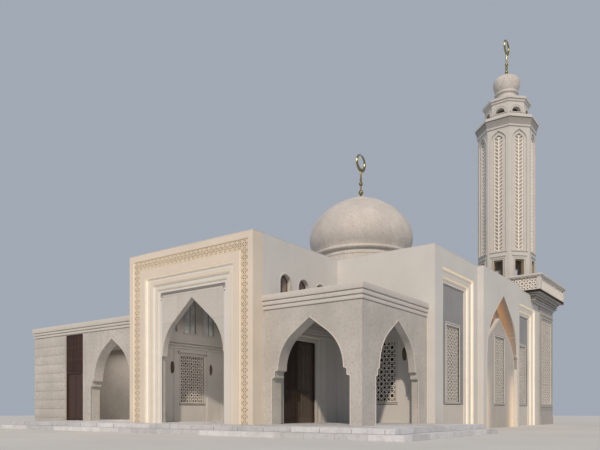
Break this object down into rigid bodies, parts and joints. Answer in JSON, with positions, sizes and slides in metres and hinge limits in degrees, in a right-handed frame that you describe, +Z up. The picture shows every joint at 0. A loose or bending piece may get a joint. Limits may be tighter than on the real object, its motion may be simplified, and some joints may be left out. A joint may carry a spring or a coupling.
{
  "type": "mosque building",
  "caption": "Mosque with a stepped portal, arched corner porch, low wing, domed hall and an eight sided minaret with a balcony; portal and wing doors swing inwards.",
  "frame": {"origin": "on the ground under the middle of the whole footprint, steps included", "axes": "+Z up, +Y from the portal front to the back of the hall, +X to the right seen from the front"},
  "size_m": [25.71, 27.99, 25.5809],
  "materials": {
    "plaster": "smooth off-white plaster",
    "stone": "matte textured beige stone",
    "marble": "honed marble slabs",
    "dark_timber": "stained timber",
    "brass": "polished",
    "dark_glass": "smooth tinted glass"
  },
  "bodies": {
    "building": {"dome_drum": "stone", "dome_finial": "brass", "dome_rim": "stone", "dome_shell": "stone", "door_frame": "dark_timber", "hall_back_glass": "dark_glass", "hall_back_wall": "plaster", "hall_floor": "marble", "hall_front_wall": "plaster", "hall_left_arch_bay": "plaster", "hall_left_back_bay": "plaster", "hall_left_front_bay": "plaster", "hall_left_glass": "dark_glass", "hall_right_arch_bay": "plaster", "hall_right_back_bay": "plaster", "hall_right_front_bay": "plaster", "hall_right_glass_1": "dark_glass", "hall_right_glass_2": "dark_glass", "hall_right_glass_3": "dark_glass", "hall_roof": "plaster", "minaret_balcony": "stone", "minaret_balustrade": "stone", "minaret_base": "stone", "minaret_cap": "stone", "minaret_finial": "brass", "minaret_lantern": "stone", "minaret_shaft": "stone", "porch_cornice": "stone", "porch_front_wall": "stone", "porch_lamp_1": "brass", "porch_lamp_2": "brass", "porch_roof": "plaster", "porch_side_wall": "stone", "porch_window_glass": "dark_glass", "portal_arch_panel": "stone", "portal_border": "plaster", "portal_carved_band": "plaster", "portal_left_glass": "dark_glass", "portal_left_wall": "plaster", "portal_light_frame": "plaster", "portal_right_back_pier": "plaster", "portal_right_front_pier": "plaster", "portal_right_glass": "dark_glass", "portal_right_upper_wall": "plaster", "portal_roof": "plaster", "terrace_floor": "marble", "terrace_step": "marble", "timber_screen": "dark_timber", "vestibule_lamp_1": "brass", "vestibule_lamp_2": "brass", "vestibule_window_glass": "dark_glass", "wing_arch_wall": "stone", "wing_cornice": "stone", "wing_end_walls": "stone", "wing_roof": "plaster"},
    "front_leaf": {"door_leaf_front": "dark_timber"},
    "back_leaf": {"door_leaf_back": "dark_timber"},
    "wing_leaf": {"timber_door": "dark_timber"}
  },
  "joints": [
    {"name": "front_leaf_swing", "type": "hinge", "parent": "building", "child": "front_leaf", "pos_m": [5.195, -9.847, 2.1], "axis": [0, 0, 1], "range_deg": [0, 90]},
    {"name": "back_leaf_swing", "type": "hinge", "parent": "building", "child": "back_leaf", "pos_m": [5.195, -7.703, 2.1], "axis": [0, 0, -1], "range_deg": [0, 90]},
    {"name": "wing_leaf_swing", "type": "hinge", "parent": "building", "child": "wing_leaf", "pos_m": [-9.507, -10.215, 1.6], "axis": [0, 0, 1], "range_deg": [0, 90]}
  ]
}
